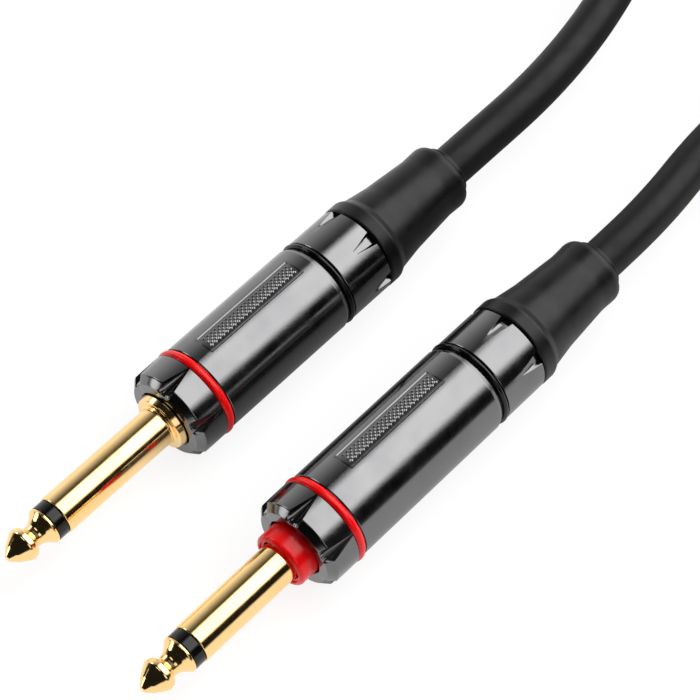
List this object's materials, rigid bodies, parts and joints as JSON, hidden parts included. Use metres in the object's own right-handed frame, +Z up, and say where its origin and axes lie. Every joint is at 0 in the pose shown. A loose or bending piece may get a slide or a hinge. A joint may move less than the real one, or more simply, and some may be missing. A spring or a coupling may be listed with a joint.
{
  "type": "instrument cable",
  "caption": "Coiled shielded audio cable with a straight 6.35 mm phone plug on each end, one plain and one with a sprung red collar that works a silent switch.",
  "frame": {"origin": "on the floor, in the middle of the whole object, plugs and coil together", "axes": "+Z up, -Y the way the plug tips point, +Y towards the coil, plug A on the -X side and plug B on the +X side"},
  "size_m": [0.1756, 0.3844, 0.025],
  "materials": {
    "gold": "polished gold plating",
    "dark_chrome": "polished dark chrome",
    "red_plastic": "gloss",
    "black_gloss": "gloss",
    "seal_rubber": "smooth",
    "boot_rubber": "matte",
    "jacket_rubber": "matte",
    "grey_plastic": "matte",
    "white_plastic": "matte",
    "steel": "satin",
    "brass": "satin",
    "copper": "satin",
    "glass": "clear"
  },
  "bodies": {
    "coil": {"cable_jacket_coil": "jacket_rubber", "cable_shield_coil": "copper", "cable_insulation_coil": "white_plastic", "cable_conductor_coil": "copper"},
    "link_a": {"cable_jacket_link_a": "jacket_rubber", "cable_shield_link_a": "copper", "cable_insulation_link_a": "white_plastic", "cable_conductor_link_a": "copper"},
    "plug_a": {"tip_contact_a": "gold", "tip_insulator_a": "black_gloss", "sleeve_contact_a": "gold", "rear_insulator_a": "white_plastic", "tip_lug_a": "brass", "ground_lug_a": "brass", "shell_a": "dark_chrome", "colour_ring_a": "red_plastic", "insert_body_a": "grey_plastic", "strain_chuck_a": "grey_plastic", "cable_jacket_stub_a": "jacket_rubber", "cable_shield_stub_a": "copper", "cable_insulation_stub_a": "white_plastic", "cable_conductor_stub_a": "copper"},
    "gland_slide_a": {"thrust_washer_a": "white_plastic"},
    "gland_a": {"gland_nut_a": "dark_chrome", "boot_a": "boot_rubber", "o_ring_a": "seal_rubber"},
    "link_b": {"cable_jacket_link_b": "jacket_rubber", "cable_shield_link_b": "copper", "cable_insulation_link_b": "white_plastic", "cable_conductor_link_b": "copper"},
    "plug_b": {"tip_contact_b": "gold", "tip_insulator_b": "black_gloss", "sleeve_contact_b": "gold", "rear_insulator_b": "white_plastic", "tip_lug_b": "brass", "ground_lug_b": "brass", "shell_b": "dark_chrome", "colour_ring_b": "red_plastic", "insert_body_b": "grey_plastic", "strain_chuck_b": "grey_plastic", "collar_spring_b": "steel", "reed_switch_b": "glass", "switch_carrier_b": "grey_plastic", "cable_jacket_stub_b": "jacket_rubber", "cable_shield_stub_b": "copper", "cable_insulation_stub_b": "white_plastic", "cable_conductor_stub_b": "copper"},
    "gland_slide_b": {"thrust_washer_b": "white_plastic"},
    "gland_b": {"gland_nut_b": "dark_chrome", "boot_b": "boot_rubber", "o_ring_b": "seal_rubber"},
    "collar": {"collar_b": "red_plastic", "collar_magnet_b": "steel"}
  },
  "joints": [
    {"name": "flex_far_a", "type": "hinge", "parent": "coil", "child": "link_a", "pos_m": [-0.02235, -0.04072, 0.00765], "axis": [0, 0, 1], "range_deg": [-20, 1.5]},
    {"name": "flex_near_a", "type": "hinge", "parent": "link_a", "child": "plug_a", "pos_m": [-0.0145, -0.07771, 0.00765], "axis": [0, 0, 1], "range_deg": [-20.5, 2]},
    {"name": "gland_travel_a", "type": "slide", "parent": "plug_a", "child": "gland_slide_a", "axis": [0, 1, 0], "range_m": [0, 0.0061]},
    {"name": "gland_turn_a", "type": "hinge", "parent": "gland_slide_a", "child": "gland_a", "pos_m": [-0.01443, -0.12471, 0.00765], "axis": [0, 1, 0], "range_deg": [0, 1440]},
    {"name": "flex_far_b", "type": "hinge", "parent": "coil", "child": "link_b", "pos_m": [0.01512, -0.03991, 0.00765], "axis": [0, 0, 1], "range_deg": [-1.5, 20]},
    {"name": "flex_near_b", "type": "hinge", "parent": "link_b", "child": "plug_b", "pos_m": [0.01492, -0.07773, 0.00765], "axis": [0, 0, 1], "range_deg": [-2, 20.5]},
    {"name": "gland_travel_b", "type": "slide", "parent": "plug_b", "child": "gland_slide_b", "axis": [0, 1, 0], "range_m": [0, 0.0061]},
    {"name": "gland_turn_b", "type": "hinge", "parent": "gland_slide_b", "child": "gland_b", "pos_m": [0.01557, -0.12421, 0.00765], "axis": [0, 1, 0], "range_deg": [0, 1440]},
    {"name": "collar_slide", "type": "slide", "parent": "plug_b", "child": "collar", "axis": [0, 1, 0], "range_m": [0, 0.0032], "stiffness_N_per_m": 250, "deforming": ["collar_spring_b"]}
  ],
  "couplings": [
    {"joint": "flex_near_a", "follows": "flex_far_a", "ratio": 1},
    {"joint": "gland_travel_a", "follows": "gland_turn_a", "m_per_rad": 0.00023873},
    {"joint": "flex_near_b", "follows": "flex_far_b", "ratio": 1},
    {"joint": "gland_travel_b", "follows": "gland_turn_b", "m_per_rad": 0.00023873}
  ]
}
